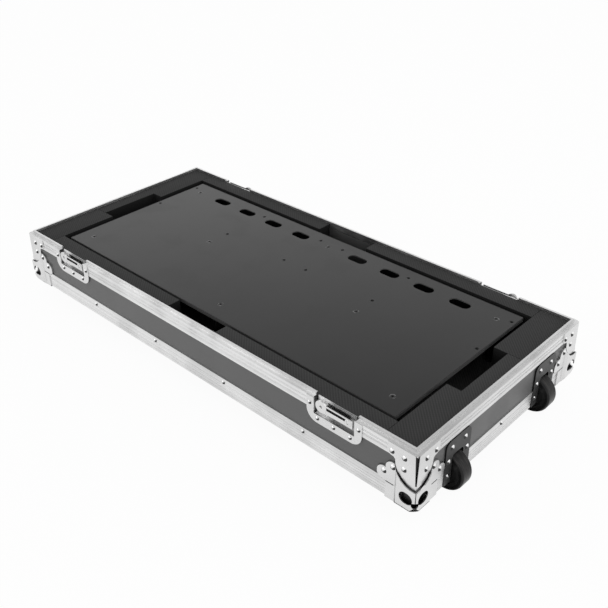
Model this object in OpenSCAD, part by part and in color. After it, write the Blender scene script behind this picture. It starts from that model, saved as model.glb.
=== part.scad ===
// Base of a wheeled flight case for guitar pedals, with its foam nest and its lift-out pedalboard.
// The lid is off: it seats on the rim and is held by four latches, whose fixed halves are here.
// X runs along the case towards the wheels, Y across it towards the back, Z up from the floor.

/* [Case] */
// Outer length over the aluminium edges
case_l = 900; // [870:5:1000]
// Outer width over the aluminium edges
case_w = 411; // [399:2:479]
// Height from the underside of the edges to the top of the rim tongue
case_h = 100; // [97:1:123]
// Height of the underside above the floor
stand_h = 25; // [24:1:40]
// Thickness of the plywood and its laminate facing
panel_t = 6.3; // [6.1:0.1:8]
// Wall thickness of the aluminium extrusions
skin_t = 1.5; // [1.2:0.1:1.8]

/* [Rim extrusion] */
// Height of the outer face of the rim
rim_face_h = 20; // [18:0.5:22]
// Height of the locating tongue above the shoulder
tongue_h = 4.5; // [3:0.5:6]
// Thickness of the locating tongue
tongue_t = 3.5; // [2.5:0.5:5]
// Thickness of the top web that closes the panel groove
web_t = 2.5; // [2:0.25:3]
// Height of the inner leg of the rim
inner_leg_h = 8; // [6:0.5:10]
// Width of a fine groove along an extrusion
groove_w = 0.8; // [0.5:0.1:1]
// Depth of a fine groove
groove_deep = 0.4; // [0.2:0.1:0.6]
// Distance between neighbouring fine grooves
groove_pitch = 1.8; // [1.5:0.1:2]

/* [Base extrusion] */
// Width of each leg of the base angle
edge_w = 29; // [27:1:33]
// Spacing of the rivets along the base angle
edge_rivet_pitch = 168; // [150:2:180]
// Height of those rivets above the underside
edge_rivet_z = 21.8; // [18:0.2:24]

/* [Corner cap] */
// How far the swollen part of a corner cap stands proud
cap_proud = 4.6; // [4:0.1:5]
// Sheet thickness of the corner cap and of its flange
cap_t = 1.5; // [1.2:0.1:1.8]
// Radius of the rounded lower edges of the cap
cap_r = 9.5; // [8:0.5:11]
// Radius of the upright edge of the cap
cap_edge_r = 4; // [3.5:0.5:6]
// Reach of the swollen part from the corner
cap_ball_reach = 28; // [26:1:30]
// Radius of the ball that rounds the lowest point of the cap
cap_ball_r = 47.3; // [47:0.1:49]
// Width of the slope between the swollen part and the flange
cap_slope = 4; // [3:0.5:5]
// Reach of the flange from the corner
cap_reach = 47.5; // [45:0.5:50]
// Height of the oval hole in each upright face
cap_hole_d = 19; // [17:0.5:20]
// How much wider than high that hole is
cap_hole_long = 2.7; // [2:0.1:3]
// Distance of the hole's inner round from the corner edge
cap_hole_s = 10.4; // [10.2:0.1:11]
// Height of that hole above the underside
cap_hole_z = 20.5; // [20:0.5:22]
// Diameter of the opening that joins the two holes round the corner
cap_mouth_d = 10.5; // [9.5:0.5:11]
// Height of that opening above the underside
cap_mouth_z = 14.5; // [13:0.5:16]
// Height of the slit between the flange and the lobes
cap_slit_w = 1.6; // [1:0.1:2]
// Width of the open seam on the corner edge
cap_seam_w = 1.2; // [0.6:0.1:1.5]
// Radius of a riveted lobe
cap_lobe_r = 11.5; // [10:0.5:12]
// How far the middle of a lobe lies under its rivet
cap_lobe_drop = 3.5; // [0:0.5:4]

/* [Rim brace] */
// Sheet thickness of the rim brace
brace_t = 1.2; // [1:0.1:1.5]
// Reach of each leaf from the corner
brace_reach = 46.5; // [45:0.5:48]
// Width of the open slit on the corner edge at its top
brace_slit_w = 5.5; // [4:0.5:6]
// Width of that slit at its foot
brace_slit_low_w = 2; // [1.5:0.5:3]
// Height of the closed tongue under the slit
brace_tongue_h = 8; // [6:0.5:10]

/* [Latch] */
// Distance of a latch centre from the end of the case
latch_inset = 139; // [130:0.5:160]
// Width of the latch dish
dish_w = 99; // [96:1:104]
// Height of the dish
dish_h = 40.4; // [39:0.1:42]
// Radius of the lower corners of the dish
dish_r = 19; // [16:0.5:20]
// Sheet thickness of the dish
dish_t = 1.2; // [1:0.1:1.3]
// Width of the pocket in the dish
pocket_w = 73; // [70:1:74]
// Height of the pocket, which is open at the top
pocket_h = 26.3; // [25:0.1:27]
// Depth of the pocket behind the case face
pocket_deep = 7.9; // [7:0.1:8]
// Sheet thickness of the keeper
keeper_t = 1.5; // [1.2:0.1:1.6]

/* [Rivets] */
// Head diameter of the large rivets
rivet_d = 8.6; // [7:0.2:9]
// Head diameter of the small rivets on the latches and edges
small_rivet_d = 6.8; // [6:0.2:7.4]
// Head height of a rivet
rivet_h = 1.9; // [1.4:0.1:2.2]
// Shank diameter of a rivet
shank_d = 4; // [3.2:0.2:4.2]

/* [Wheels] */
// Diameter of a wheel
wheel_d = 65; // [62:0.5:66]
// Width of the tread
wheel_w = 23; // [20:0.5:24]
// Radius of the rounded tread edge
tread_r = 3; // [2:0.5:4]
// Diameter of the wheel core inside the tyre
core_d = 51; // [46:1:54]
// Distance of a wheel from the long side of the case
wheel_inset = 92.5; // [88:0.5:96]
// Distance of the axle from the end face of the case
axle_back = 12.5; // [12:0.5:14]
// Height of the axle above the underside of the edges
axle_up = 9.5; // [9.5:0.5:12]
// Diameter of the axle
axle_d = 8; // [7:0.5:9]
// Width of the wheel plate
wheel_plate_w = 57.5; // [56:0.5:60]
// Gap between the wheel plate and the rim above it
wheel_plate_gap = 1; // [1:0.5:3]
// Thickness of the wheel plate
wheel_plate_t = 2.5; // [2:0.1:3]
// Radius of the upper corners of the wheel plate
wheel_plate_r = 11; // [8:0.5:14]
// Width of the window that the wheel stands out of
window_w = 26; // [26:0.5:28]
// Height of that window above the underside
window_h = 46; // [45:0.5:48]
// Sheet thickness of the wheel housing
housing_t = 1.5; // [1.2:0.1:2]

/* [Foam] */
// Thickness of the foam on the floor of the case
foam_floor_t = 10; // [8:0.5:12]
// Width of the foam blocks at the two ends
end_foam_w = 50.7; // [48:0.1:60]
// Width of the foam strips along the long sides
side_foam_w = 28.6; // [24:0.1:32]
// Drop of the foam below the rim tongue
foam_drop = 4.5; // [3:0.1:6]
// Drop of the board below the rim tongue
board_drop = 7; // [4:0.1:9]
// Length of the finger notches in the end blocks
notch_l = 118; // [100:2:140]
// Length of the finger notches in the long strips
long_notch_l = 112; // [100:2:140]
// Depth of the finger notches in the end blocks
notch_deep = 24; // [20:1:28]
// Gap at each end of the board
end_gap = 9.8; // [6:0.1:12]
// Gap along each long side of the board
side_gap = 6.1; // [4:0.1:9]

/* [Pedalboard] */
// Sheet thickness of the board
board_t = 2; // [1.5:0.1:3]
// Depth of the folded edge of the board
board_fold = 6; // [5:0.5:12]
// Radius of the corners of the board
board_r = 3; // [2.5:0.5:6]
// Number of cable slots on each half
slot_n = 4; // [2:1:4]
// Length of a cable slot
slot_l = 38.1; // [32:0.1:44]
// Width of a cable slot
slot_w = 19.05; // [16:0.05:21]
// Distance of the slot row and the screw rows from the long edges
row_inset = 32; // [28:0.1:38]
// Distance of the outer screws from the short edges
screw_inset = 30; // [26:0.5:36]
// Head diameter of a board screw
screw_head_d = 10.5; // [9:0.5:11]
// Thread diameter of a board screw
screw_d = 5; // [4:0.1:5.4]
// Diameter of the bracket holes
bracket_hole_d = 6; // [4:0.1:6]
// Distance of the outer bracket holes from the short edges
bracket_inset = 8; // [7:0.5:10]
// Distance of the back bracket holes from the back edge
bracket_edge = 23; // [20:0.5:24]
// Diameter of the support posts under the board
post_d = 22; // [18:1:24]
// Height of the rubber tip of a post
tip_h = 6; // [4:0.5:10]

/* [Feet] */
// Diameter of a foot at the top
foot_d = 38; // [30:1:42]
// Diameter of a foot where it meets the floor
foot_low_d = 33; // [28:1:36]
// Distance of a foot from the end of the case
foot_inset_x = 82; // [78:1:110]
// Distance of a foot from the long side of the case
foot_inset_y = 66; // [60:1:80]

/* [Handle] */
// Distance between the ears of the pull handle
handle_span = 104; // [90:1:130]
// Diameter of the bail rod
bail_d = 8; // [7:0.5:9]
// Diameter of the grip sleeve
grip_d = 13; // [11:0.5:14]
// Drop of the grip below the pivot
bail_drop = 24; // [23:0.5:26]
// Diameter of the pivot pins
handle_pin_d = 6; // [5:0.5:6.5]

/* [Fits] */
// Radial clearance of a turning fit
run_fit = 0.08; // [0.04:0.01:0.1]
// Clearance of a shank, screw or insert in its hole
seat_fit = 0.1; // [0.05:0.05:0.2]
// Clearance between the board and what it rests on
rest_fit = 0.3; // [0.2:0.1:0.5]

/* [Hidden] */
$fn = 64;

// Overrun of every cut past the faces that it opens
cut = 1;
// Depth of the rim extrusion, two walls and the panel between them
rim_d = panel_t + 2 * skin_t;
under_z = stand_h;
edge_top_z = under_z + edge_w;
rim_top_z = under_z + case_h;
shoulder_z = rim_top_z - tongue_h;
rim_low_z = shoulder_z - rim_face_h;
panel_top_z = shoulder_z - web_t;
panel_low_z = under_z + skin_t;
edge_groove_n = 4;
// Heights of the two pairs of grooves on the rim, as shares of its face from the top
rim_groove_share = [0.3, 0.6];
// Half sizes of the case at its faces, at the laminate and inside the panels
half_l = case_l / 2;
half_w = case_w / 2;
face_l = half_l - skin_t;
face_w = half_w - skin_t;
in_l = face_l - panel_t;
in_w = face_w - panel_t;
// Half sizes of the foam nest, flush with the inner faces of the rim
nest_l = half_l - rim_d;
nest_w = half_w - rim_d;
open_l = nest_l - end_foam_w;
open_w = nest_w - side_foam_w;
floor_z = panel_low_z + panel_t;
nest_z = floor_z + foam_floor_t;
foam_top_z = rim_top_z - foam_drop;

brace_top = case_h - tongue_h;
// Height of a brace leaf, as a share of the height of the case
brace_h_share = 0.57;
brace_h = brace_h_share * case_h;
brace_low = brace_top - brace_h;
// Outline of a brace leaf from its top outer corner to the corner edge, as shares of its reach and height
brace_curve_share = [
    [1, 0.748], [0.966, 0.686], [0.892, 0.658], [0.785, 0.645], [0.727, 0.6],
    [0.701, 0.432], [0.615, 0.29], [0.456, 0.142], [0.28, 0.049], [0.116, 0.009]
];
brace_rivet_share = [[0.85, 0.775], [0.417, 0.762], [0.413, 0.432]];
brace_curve = [for (p = brace_curve_share) [p[0] * brace_reach, brace_low + p[1] * brace_h]];
brace_rivets = [for (p = brace_rivet_share) [p[0] * brace_reach, brace_low + p[1] * brace_h]];
brace_gap = 1.2;
slit_deep = 8;

// Rivets of a cap face and the foot of its outer lobe, as shares of the flange's reach and the case's height
cap_rivet_share = [[0.768, 0.565], [1.063, 0.425]];
cap_toe_share = [1.16, 0.359];
cap_rivets = [for (p = cap_rivet_share) [p[0] * cap_reach, p[1] * case_h]];
cap_lobes = [for (p = cap_rivets) [p[0], p[1] - cap_lobe_drop]];
cap_toe = [cap_toe_share[0] * cap_reach, cap_toe_share[1] * case_h];
cap_toe_r = 0.6 * cap_lobe_r;
cap_far = cap_ball_reach + cap_slope;
cap_slit_z = edge_w - cap_t;

latch_x = half_l - latch_inset;
latch_cut_w = pocket_w + 2 * dish_t + 2 * seat_fit;
dish_low = brace_top - dish_h;
pocket_low = brace_top - pocket_h;
// Places on a latch, from its middle and from the top of the dish
latch_rivet_x = 43.8;
latch_rivet_down = 11.4;
latch_low_rivet_x = 29.5;
latch_low_rivet_down = 32.4;
latch_rivet_z = brace_top - latch_rivet_down;
latch_low_rivet_z = brace_top - latch_low_rivet_down;
pocket_fillet = 6;
keeper_half_w = 33.5;
keeper_down = 17.4;
knee_down = 9.4;
keeper_low = brace_top - keeper_down;
keeper_knee = brace_top - knee_down;
// Ends of the window and of the slot of a keeper, as shares of half its width
keeper_window_share = [-0.463, 0.761];
keeper_slot_share = [-0.493, 0.403];
// Edges of the slot, as shares of the height of the upright part
keeper_slot_z_share = [0.26, 0.74];
keeper_window = keeper_window_share * keeper_half_w;
keeper_slot = keeper_slot_share * keeper_half_w;
keeper_slot_z = [for (k = keeper_slot_z_share) keeper_low + k * (keeper_knee - keeper_low)];
keeper_window_rise = 2.4;
ear_x = -27.2;
ear_down = 5.9;
ear_z = brace_top - ear_down;
ear_d = 11;
ear_hole_d = 4;
curl_x = 23.5;
curl_down = 11.4;
curl_z = brace_top - curl_down;
curl_d = 9;
rib_n = 4;
rib_d = 1.2;

rivet_tail = 0.8;
wheel_y = half_w - wheel_inset;
axle_x = half_l - axle_back;
axle_z = under_z + axle_up;
wheel_gap = 2.5;
hub_d = 18;
hub_gap = 0.5;
web_recess = 2;
rim_wall = 4.5;
housing_in_x = axle_x - wheel_d / 2 - wheel_gap;
housing_top_z = under_z + window_h;
wheel_plate_h = brace_top - rim_face_h - wheel_plate_gap;
axle_head_d = 12;
axle_head_t = 2;
// Rivets of a wheel plate, as shares of half its width and of its height
wheel_plate_rivet_share = [[0.529, 0.813], [0.741, 0.52], [0.741, 0.177]];
window_r = 6;
plate_sole_l = 56;

board_top_z = rim_top_z - board_drop;
board_l = 2 * (open_l - end_gap);
board_w = 2 * (open_w - side_gap);
row_y = board_w / 2 - row_inset;
screw_x = board_l / 2 - screw_inset;
post_spots = [
    [-screw_x, -row_y], [0, -row_y], [screw_x, -row_y],
    [-screw_x, row_y], [0, row_y], [screw_x, row_y],
    [-screw_x / 2, 0], [screw_x / 2, 0]
];
// Distances between slots and between bracket holes, as shares of the length or width of the board
slot_pitch_share = 0.094;
bracket_span_share = 0.2615;
bracket_mid_share = 0.0688;
bracket_rise_share = 0.297;
slot_pitch = slot_pitch_share * board_l;
slot_first = slot_pitch;
slot_shift = -3;
bracket_span = bracket_span_share * board_l;
bracket_mid_span = bracket_mid_share * board_l;
bracket_rise = bracket_rise_share * board_w;
bracket_y = board_w / 2 - bracket_edge - bracket_rise / 2;
bracket_x = board_l / 2 - bracket_inset - bracket_span / 2;
countersink_h = 2.6;
screw_deep = 24;
recess_d = 3.6;
recess_deep = 1.6;

foot_spots = [
    [-(half_l - foot_inset_x), -(half_w - foot_inset_y)], [half_l - foot_inset_x, -(half_w - foot_inset_y)],
    [-(half_l - foot_inset_x), half_w - foot_inset_y], [half_l - foot_inset_x, half_w - foot_inset_y]
];
foot_cup_d = 16;
foot_cup_deep = 12;
foot_screw_d = 5;
foot_screw_head_d = 12;
foot_screw_head_h = 3;
foot_screw_bite = 5.5;

handle_out = axle_x + wheel_d / 2 - half_l;
handle_pivot_x = -(half_l + handle_out / 2);
handle_plate_t = 2;
// Gap from the handle plate to the base angle and to the rim
handle_plate_gap = 2.5;
handle_plate_low = edge_top_z + handle_plate_gap;
handle_plate_h = rim_low_z - handle_plate_gap - handle_plate_low;
// Height of the pivot, as a share of the height of the plate
handle_pivot_share = 0.78;
handle_pivot_z = handle_plate_low + handle_pivot_share * handle_plate_h;
handle_margin = 16;
handle_plate_w = handle_span + 2 * handle_margin;
ear_t = 4;
ear_gap = 0.4;
eye_w = 8;
// Heights of the handle rivets, as shares of the height of the plate
handle_rivet_share = [0.29, 0.73];
handle_rivet_in = 7;
handle_rivet_y = handle_plate_w / 2 - handle_rivet_in;
bail_bend_r = 12;
grip_gap = 12;

module quadrant(sx, sy) {
    if (sx > 0 && sy < 0) children();
    if (sx < 0 && sy < 0) mirror([1, 0, 0]) children();
    if (sx > 0 && sy > 0) mirror([0, 1, 0]) children();
    if (sx < 0 && sy > 0) rotate([0, 0, 180]) children();
}

// A latch is drawn on the front face, with X from its middle and Z from the underside
module latch_place(sx, sy) {
    if (sy < 0) translate([sx * latch_x, -half_w, under_z]) children();
    else rotate([0, 0, 180]) translate([-sx * latch_x, -half_w, under_z]) children();
}

module at_wheel(sy) {
    translate([0, sy * wheel_y, 0]) children();
}

// A plan shape with its profile in Y and Z drawn out along X, centred
module drawn_x(run) {
    translate([-run / 2, 0, 0]) rotate([90, 0, 90]) linear_extrude(run) children();
}

// A shape seen from the front, drawn out towards the viewer
module drawn_front(t) {
    rotate([90, 0, 0]) linear_extrude(t) children();
}

// Leaf shapes are drawn as distance from the corner and height, for the front right corner
module front_leaf(t) {
    translate([half_l, -half_w, under_z]) rotate([90, 0, 0]) mirror([1, 0, 0]) linear_extrude(t) children();
}

module right_leaf(t) {
    translate([half_l, -half_w, under_z]) rotate([90, 0, 90]) linear_extrude(t) children();
}

// The same leaf between the case face and the laminate, where the wall is not covered by an extrusion
module front_pad() {
    translate([0, skin_t, 0]) front_leaf(skin_t) intersection() {
        children();
        strip_2d();
    }
}

module right_pad() {
    translate([-skin_t, 0, 0]) right_leaf(skin_t) intersection() {
        children();
        strip_2d();
    }
}

module strip_2d() {
    translate([0, edge_w]) square([case_l, rim_low_z - edge_top_z]);
}

module mitre_prism(run, deep) {
    linear_extrude(rim_top_z + cut)
        polygon([[-run / 2, 0], [run / 2, 0], [run / 2 - deep, deep], [-run / 2 + deep, deep]]);
}

// Rivets and their holes
module rivet(d, grip) {
    dome_r = (d * d / 4 + rivet_h * rivet_h) / (2 * rivet_h);
    intersection() {
        translate([0, 0, rivet_h - dome_r]) sphere(dome_r);
        cylinder(h = rivet_h, d = d);
    }
    translate([0, 0, -grip]) cylinder(h = grip + rivet_h / 2, d = shank_d);
}

// Turns the Z axis of its children out of the front or the right face
module out_front() {
    rotate([90, 0, 0]) children();
}

module out_right() {
    rotate([0, 90, 0]) children();
}

module shank_hole(d) {
    translate([0, 0, -rim_d - cut]) cylinder(h = rim_d + cap_proud + 2 * cut, d = d + 2 * seat_fit);
}

module corner_spots(list) {
    for (spot = list) {
        translate([half_l - spot[0], -half_w, under_z + spot[1]]) out_front() children();
        translate([half_l, -half_w + spot[0], under_z + spot[1]]) out_right() children();
    }
}

// Slit down the corner edge, through the brace and the rim into the ends of the panels
module corner_slit(top) {
    foot = brace_low + brace_tongue_h;
    translate([half_l, -half_w, under_z]) rotate([90, 0, 45]) translate([0, 0, -slit_deep])
        linear_extrude(slit_deep + 2 * brace_t + cut) polygon([
            [-brace_slit_low_w / 2, foot], [brace_slit_low_w / 2, foot],
            [brace_slit_w / 2, top], [-brace_slit_w / 2, top]
        ]);
}

module corner_slits() {
    for (sx = [-1, 1], sy = [-1, 1]) quadrant(sx, sy) corner_slit(brace_top - skin_t);
}

module corner_holes() {
    for (sx = [-1, 1], sy = [-1, 1]) quadrant(sx, sy) {
        corner_spots(brace_rivets) shank_hole(shank_d);
        corner_spots(cap_rivets) shank_hole(shank_d);
    }
}

module latch_spots() {
    for (side = [-1, 1])
        translate([side * latch_rivet_x, 0, latch_rivet_z]) out_front() children();
    for (i = [-1, 0, 1])
        translate([i * latch_low_rivet_x, 0, latch_low_rivet_z]) out_front() children();
}

module latch_holes() {
    for (sx = [-1, 1], sy = [-1, 1]) latch_place(sx, sy) latch_spots() shank_hole(shank_d);
}

module edge_spots() {
    for (turn = [0, 180]) {
        rotate([0, 0, turn]) for (i = [-1.5, -0.5, 0.5, 1.5])
            translate([i * edge_rivet_pitch, -half_w, under_z + edge_rivet_z]) out_front() children();
        rotate([0, 0, turn]) translate([half_l, 0, under_z + edge_rivet_z]) out_right() children();
    }
}

module edge_holes() {
    edge_spots() shank_hole(shank_d);
}

module wheel_plate_spots() {
    for (sy = [-1, 1], side = [-1, 1], p = wheel_plate_rivet_share)
        translate([face_l, sy * wheel_y + side * p[0] * wheel_plate_w / 2, under_z + p[1] * wheel_plate_h])
            out_right() children();
}

module handle_spots() {
    for (side = [-1, 1], k = handle_rivet_share)
        translate([-face_l, side * handle_rivet_y, handle_plate_low + k * handle_plate_h])
            rotate([0, -90, 0]) children();
}

// Openings in the panels
module latch_pocket_room() {
    for (sx = [-1, 1], sy = [-1, 1]) latch_place(sx, sy)
        translate([-latch_cut_w / 2, -cut, pocket_low - dish_t - seat_fit])
            cube([latch_cut_w, rim_d + cut, case_h]);
}

module housing_room() {
    side = window_w / 2 + housing_t + axle_head_t + seat_fit;
    for (sy = [-1, 1]) at_wheel(sy)
        translate([housing_in_x - housing_t - seat_fit, -side, -cut])
            cube([half_l, 2 * side, housing_top_z + housing_t + seat_fit + cut]);
}

module bottom_panel() {
    color([0.24, 0.24, 0.25]) difference() {
        translate([-in_l, -in_w, panel_low_z]) cube([2 * in_l, 2 * in_w, panel_t]);
        housing_room();
        for (spot = foot_spots)
            translate([spot[0], spot[1], 0]) cylinder(h = floor_z + cut, d = foot_screw_d + 2 * seat_fit);
    }
}

module long_panel() {
    color([0.3, 0.3, 0.31]) difference() {
        translate([-face_l, -face_w, panel_low_z]) cube([2 * face_l, panel_t, panel_top_z - panel_low_z]);
        latch_pocket_room();
        corner_slits();
        corner_holes();
        latch_holes();
        edge_holes();
    }
}

module end_panel() {
    difference() {
        translate([in_l, -in_w, panel_low_z]) cube([panel_t, 2 * in_w, panel_top_z - panel_low_z]);
        corner_holes();
        edge_holes();
    }
}

module front_panel() {
    long_panel();
}

module back_panel() {
    rotate([0, 0, 180]) long_panel();
}

module right_panel() {
    color([0.36, 0.36, 0.37]) difference() {
        end_panel();
        housing_room();
        wheel_plate_spots() shank_hole(shank_d);
    }
}

module left_panel() {
    color([0.36, 0.36, 0.37]) difference() {
        rotate([0, 0, 180]) end_panel();
        handle_spots() shank_hole(shank_d);
    }
}

// Base angles, cut back under the corner caps
module base_profile() {
    difference() {
        translate([0, under_z]) union() {
            square([skin_t, edge_w]);
            square([edge_w, skin_t]);
        }
        for (i = [1:edge_groove_n])
            translate([-cut, under_z + i * edge_w / (edge_groove_n + 2)])
                square([cut + groove_deep / 2, groove_w]);
    }
}

module base_bar(run, reach) {
    difference() {
        translate([0, -reach, 0]) intersection() {
            drawn_x(run) base_profile();
            mitre_prism(run, edge_w);
        }
        for (side = [-1, 1])
            translate([side * run / 2, -reach, 0])
                cube([2 * cap_far, 2 * cap_far, rim_top_z], center = true);
    }
}

module long_base_edge() {
    color([0.8, 0.81, 0.82]) difference() {
        base_bar(case_l, half_w);
        corner_holes();
        edge_holes();
    }
}

module end_base_edge() {
    difference() {
        rotate([0, 0, 90]) base_bar(case_w, half_l);
        corner_holes();
        edge_holes();
    }
}

module front_base_edge() {
    long_base_edge();
}

module back_base_edge() {
    rotate([0, 0, 180]) long_base_edge();
}

module left_base_edge() {
    color([0.8, 0.81, 0.82]) rotate([0, 0, 180]) end_base_edge();
}

module right_base_edge() {
    color([0.8, 0.81, 0.82]) difference() {
        end_base_edge();
        for (sy = [-1, 1]) at_wheel(sy)
            translate([0, -wheel_plate_w / 2 - seat_fit, 0])
                cube([case_l, wheel_plate_w + 2 * seat_fit, rim_top_z]);
    }
}

// Rim extrusions with the locating tongue, mitred at the corners
module rim_profile() {
    difference() {
        union() {
            translate([0, rim_low_z]) square([skin_t, rim_face_h]);
            translate([0, panel_top_z]) square([rim_d, web_t]);
            translate([rim_d - tongue_t, panel_top_z]) square([tongue_t, web_t + tongue_h]);
            translate([rim_d - skin_t, shoulder_z - inner_leg_h]) square([skin_t, inner_leg_h]);
        }
        for (k = rim_groove_share, i = [0, 1])
            translate([-cut, shoulder_z - k * rim_face_h - i * groove_pitch])
                square([cut + groove_deep, groove_w]);
    }
}

module rim_bar(run, reach) {
    translate([0, -reach, 0]) intersection() {
        drawn_x(run) rim_profile();
        mitre_prism(run, rim_d);
    }
}

module long_rim() {
    color([0.82, 0.83, 0.84]) difference() {
        rim_bar(case_l, half_w);
        corner_slits();
        latch_pocket_room();
        latch_holes();
        corner_holes();
    }
}

module end_rim() {
    color([0.82, 0.83, 0.84]) difference() {
        rotate([0, 0, 90]) rim_bar(case_w, half_l);
        corner_slits();
        corner_holes();
    }
}

module front_rim() {
    long_rim();
}

module back_rim() {
    rotate([0, 0, 180]) long_rim();
}

module left_rim() {
    rotate([0, 0, 180]) end_rim();
}

module right_rim() {
    end_rim();
}

// Rim braces: two leaves on the corner, joined by a tongue under the slit
module brace_2d(near, grow) {
    polygon(concat(
        [[near, brace_top + grow], [brace_reach + grow, brace_top + grow]],
        [for (p = brace_curve) [p[0] + grow, p[1] - grow]],
        [[near, brace_low - grow]]
    ));
}

module rim_brace() {
    color([0.75, 0.76, 0.77]) difference() {
        union() {
            front_leaf(brace_t) brace_2d(-brace_t, 0);
            right_leaf(brace_t) brace_2d(0, 0);
            front_pad() brace_2d(0, 0);
            right_pad() brace_2d(0, 0);
        }
        corner_slit(brace_top + cut);
        corner_spots(brace_rivets) shank_hole(shank_d);
    }
}

// Corner caps: a hollow swollen corner with flanges and two riveted lobes on each upright face.
// One section, with its slope down to the flange, is drawn out in three directions.
module swell_2d(inset, r, up) {
    low = inset - cap_proud;
    flat = inset - cap_t;
    rise = flat - low;
    intersection() {
        polygon([
            [low - rise, low - rise], [cap_far - 2 * cap_slope, low - rise], [cap_far, flat],
            [cap_far, up], [flat, up], [low - rise, up - 2 * cap_slope]
        ]);
        union() {
            translate([low + r - inset, low + r - inset]) circle(r - inset);
            translate([low + r - inset, low]) square(case_h);
            translate([low, low + r - inset]) square(case_h);
        }
    }
}

module cap_swell(inset) {
    tall = brace_low + brace_h / 2;
    reach = cap_ball_reach;
    difference() {
        intersection() {
            linear_extrude(2 * tall, center = true) swell_2d(inset, cap_edge_r, cap_far);
            rotate([90, 0, 0]) linear_extrude(2 * tall, center = true) swell_2d(inset, cap_r, case_h);
            rotate([90, 0, 90]) linear_extrude(2 * tall, center = true) swell_2d(inset, cap_r, case_h);
        }
        difference() {
            translate([-reach, -reach, -reach]) cube(2 * reach);
            translate([reach, reach, reach]) sphere(cap_ball_r - inset);
        }
    }
}

module cap_2d() {
    near = cap_far - cap_t;
    difference() {
        union() {
            polygon([
                [near, -cap_t], [cap_reach, -cap_t], [cap_reach, edge_w], cap_toe,
                cap_lobes[1], cap_lobes[0], [near, cap_lobes[0][1]]
            ]);
            for (spot = cap_lobes) translate(spot) circle(cap_lobe_r);
            translate(cap_toe) circle(cap_toe_r);
        }
        brace_2d(-cap_r, brace_gap);
        translate([cap_far + cap_slit_w, cap_slit_z - cap_slit_w]) square([cap_reach, cap_slit_w]);
    }
}

module corner_cap() {
    color([0.78, 0.79, 0.8]) difference() {
        union() {
            difference() {
                union() {
                    translate([half_l, -half_w, under_z]) mirror([1, 0, 0]) cap_swell(0);
                    front_leaf(cap_t) cap_2d();
                    right_leaf(cap_t) cap_2d();
                    translate([half_l - cap_reach, -half_w - cap_t, under_z - cap_t])
                        cube([cap_reach - cap_far + cap_t, cap_reach + cap_t, cap_t]);
                    translate([half_l - cap_reach, -half_w + cap_far - cap_t, under_z - cap_t])
                        cube([cap_reach + cap_t, cap_reach - cap_far + cap_t, cap_t]);
                }
                translate([half_l, -half_w, under_z]) mirror([1, 0, 0]) cap_swell(cap_t);
            }
            front_pad() cap_2d();
            right_pad() cap_2d();
        }
        front_leaf(cap_proud + cut) brace_2d(-cap_r, brace_gap);
        right_leaf(cap_proud + cut) brace_2d(-cap_r, brace_gap);
        corner_spots([[cap_hole_s, cap_hole_z], [cap_hole_s + cap_hole_long, cap_hole_z]])
            translate([0, 0, -skin_t]) cylinder(h = cap_proud + 2 * skin_t, d = cap_hole_d);
        corner_spots([[cap_hole_s + cap_hole_long / 2, cap_hole_z]])
            translate([-cap_hole_long / 2, -cap_hole_d / 2, -skin_t])
                cube([cap_hole_long, cap_hole_d, cap_proud + 2 * skin_t]);
        translate([half_l, -half_w, under_z + cap_mouth_z]) rotate([90, 0, 45])
            cylinder(h = 2 * cap_r, d = cap_mouth_d, center = true);
        translate([half_l, -half_w, under_z + cap_mouth_z + case_h / 2])
            rotate([0, 0, -45]) cube([2 * cap_r, cap_seam_w, case_h], center = true);
        corner_spots(cap_rivets) shank_hole(shank_d);
    }
}

// Latch dish: a flanged plate with a pocket open to the front and to the top
module dish_2d() {
    difference() {
        union() {
            translate([-dish_w / 2, dish_low + dish_r]) square([dish_w, brace_top - dish_low - dish_r]);
            translate([-dish_w / 2 + dish_r, dish_low]) square([dish_w - 2 * dish_r, dish_r + cut]);
            for (side = [-1, 1]) translate([side * (dish_w / 2 - dish_r), dish_low + dish_r]) circle(dish_r);
        }
        pocket_2d(0);
    }
}

module pocket_2d(grow) {
    translate([-pocket_w / 2 - grow, pocket_low - grow]) square([pocket_w + 2 * grow, case_h]);
}

// Section of the pocket floor and back, with Y into the case
module pocket_section(grow) {
    bend_y = pocket_deep - pocket_fillet;
    difference() {
        translate([-cut, pocket_low - grow]) square([pocket_deep + grow + cut, case_h]);
        difference() {
            translate([bend_y, pocket_low - cut - grow]) square([case_h, pocket_fillet + cut + grow]);
            translate([bend_y, pocket_low + pocket_fillet]) circle(pocket_fillet + grow);
        }
    }
}

module latch_dish() {
    color([0.76, 0.77, 0.78]) difference() {
        union() {
            drawn_front(dish_t) dish_2d();
            translate([0, skin_t, 0]) drawn_front(skin_t) intersection() {
                dish_2d();
                translate([-dish_w, edge_w]) square([2 * dish_w, rim_low_z - edge_top_z]);
            }
            difference() {
                drawn_x(pocket_w + 2 * dish_t) intersection() {
                    pocket_section(dish_t);
                    square([case_w, brace_top]);
                }
                drawn_x(pocket_w) pocket_section(0);
            }
            for (i = [1:rib_n])
                translate([0, pocket_deep, keeper_knee + i * (brace_top - keeper_knee) / (rib_n + 1)])
                    rotate([0, 90, 0]) cylinder(h = pocket_w, d = rib_d, center = true);
        }
        latch_spots() shank_hole(shank_d);
    }
}

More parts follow.
